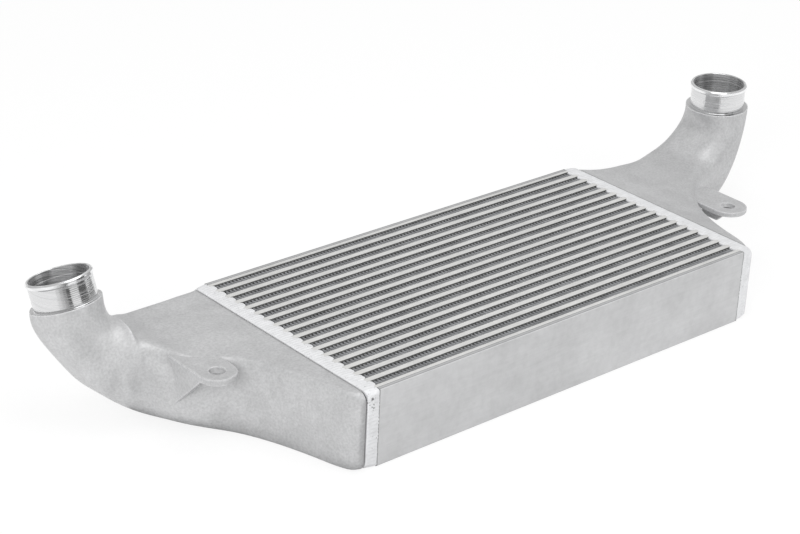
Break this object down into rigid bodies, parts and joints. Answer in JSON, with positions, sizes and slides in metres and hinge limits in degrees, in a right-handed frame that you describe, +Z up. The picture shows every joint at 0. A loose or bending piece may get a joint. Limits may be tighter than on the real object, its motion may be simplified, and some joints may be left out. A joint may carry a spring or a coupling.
{
  "type": "intercooler",
  "caption": "Bar and plate air-to-air intercooler with corrugated fin rows and two cast end tanks, each with an upturned hose neck and a bolt ear.",
  "frame": {"origin": "middle of the core's bottom face, the plane the part rests on", "axes": "+X along the charge tubes toward the tank with the longer duct, +Y across the core toward the hose necks' side, +Z up out of the necks"},
  "size_m": [0.9814, 0.2992, 0.155],
  "materials": {
    "cast_aluminium": "satin as cast and lightly blasted, hose necks machined",
    "core_aluminium": "brazed sheet and bar, dull bright",
    "fin_aluminium": "thin folded sheet, dull",
    "plate_aluminium": "rolled plate, satin",
    "weld_aluminium": "bright rippled weld"
  },
  "bodies": {
    "root": {"air_fin_01": "fin_aluminium", "air_fin_02": "fin_aluminium", "air_fin_03": "fin_aluminium", "air_fin_04": "fin_aluminium", "air_fin_05": "fin_aluminium", "air_fin_06": "fin_aluminium", "air_fin_07": "fin_aluminium", "air_fin_08": "fin_aluminium", "air_fin_09": "fin_aluminium", "air_fin_10": "fin_aluminium", "air_fin_11": "fin_aluminium", "air_fin_12": "fin_aluminium", "air_fin_13": "fin_aluminium", "air_fin_14": "fin_aluminium", "air_fin_15": "fin_aluminium", "air_fin_16": "fin_aluminium", "air_fin_17": "fin_aluminium", "charge_tube_01": "core_aluminium", "turbulator_01": "fin_aluminium", "charge_tube_02": "core_aluminium", "turbulator_02": "fin_aluminium", "charge_tube_03": "core_aluminium", "turbulator_03": "fin_aluminium", "charge_tube_04": "core_aluminium", "turbulator_04": "fin_aluminium", "charge_tube_05": "core_aluminium", "turbulator_05": "fin_aluminium", "charge_tube_06": "core_aluminium", "turbulator_06": "fin_aluminium", "charge_tube_07": "core_aluminium", "turbulator_07": "fin_aluminium", "charge_tube_08": "core_aluminium", "turbulator_08": "fin_aluminium", "charge_tube_09": "core_aluminium", "turbulator_09": "fin_aluminium", "charge_tube_10": "core_aluminium", "turbulator_10": "fin_aluminium", "charge_tube_11": "core_aluminium", "turbulator_11": "fin_aluminium", "charge_tube_12": "core_aluminium", "turbulator_12": "fin_aluminium", "charge_tube_13": "core_aluminium", "turbulator_13": "fin_aluminium", "charge_tube_14": "core_aluminium", "turbulator_14": "fin_aluminium", "charge_tube_15": "core_aluminium", "turbulator_15": "fin_aluminium", "charge_tube_16": "core_aluminium", "turbulator_16": "fin_aluminium", "left_end_bars": "core_aluminium", "right_end_bars": "core_aluminium", "front_inner_sheet": "core_aluminium", "rear_inner_sheet": "core_aluminium", "front_side_plate": "plate_aluminium", "rear_side_plate": "plate_aluminium", "left_weld_bead": "weld_aluminium", "right_weld_bead": "weld_aluminium", "left_end_tank": "cast_aluminium", "right_end_tank": "cast_aluminium"}
  },
  "joints": []
}
